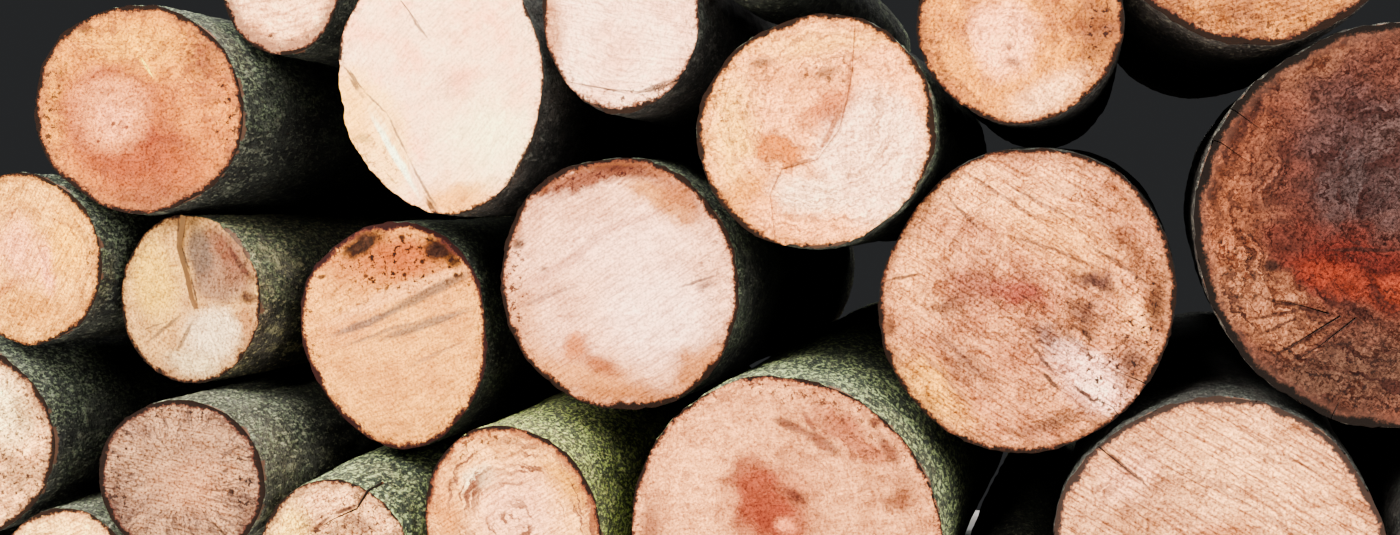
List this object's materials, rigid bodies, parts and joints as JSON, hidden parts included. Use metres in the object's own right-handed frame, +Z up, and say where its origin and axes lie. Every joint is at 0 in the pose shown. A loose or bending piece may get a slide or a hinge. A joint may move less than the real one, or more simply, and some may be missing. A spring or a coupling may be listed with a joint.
{
  "type": "log stack",
  "caption": "Stack of sawn round logs with bark on, lying parallel in each other's pockets on level ground, sawn ends to the front.",
  "frame": {"origin": "on the ground, under the middle of the stack's overall box", "axes": "+Z up, +Y along the logs from the sawn front ends to the back ends, +X to the right when looking at the front ends"},
  "size_m": [2.1902, 1.1242, 1.0106],
  "materials": {
    "pale_log": "freshly sawn, with thin bark",
    "tan_log": "sawn some weeks ago, with thin bark",
    "weathered_log": "sawn long ago and weathered, with thick bark"
  },
  "bodies": {
    "root": {"ground_log_1": "pale_log", "ground_log_2": "pale_log", "ground_log_3": "pale_log", "ground_log_4": "pale_log", "ground_log_5": "pale_log", "ground_log_6": "pale_log", "ground_log_7": "pale_log", "ground_log_8": "pale_log", "ground_log_9": "tan_log", "low_log_1": "pale_log", "low_log_2": "pale_log", "low_log_3": "tan_log", "middle_log_1": "tan_log", "middle_log_2": "pale_log", "middle_log_3": "tan_log", "middle_log_4": "pale_log", "middle_log_5": "tan_log", "middle_log_6": "weathered_log", "upper_log_1": "tan_log", "upper_log_2": "pale_log", "upper_log_3": "pale_log", "top_log_1": "pale_log", "top_log_2": "pale_log", "top_log_3": "pale_log", "top_log_4": "tan_log", "top_log_5": "tan_log"}
  },
  "joints": []
}
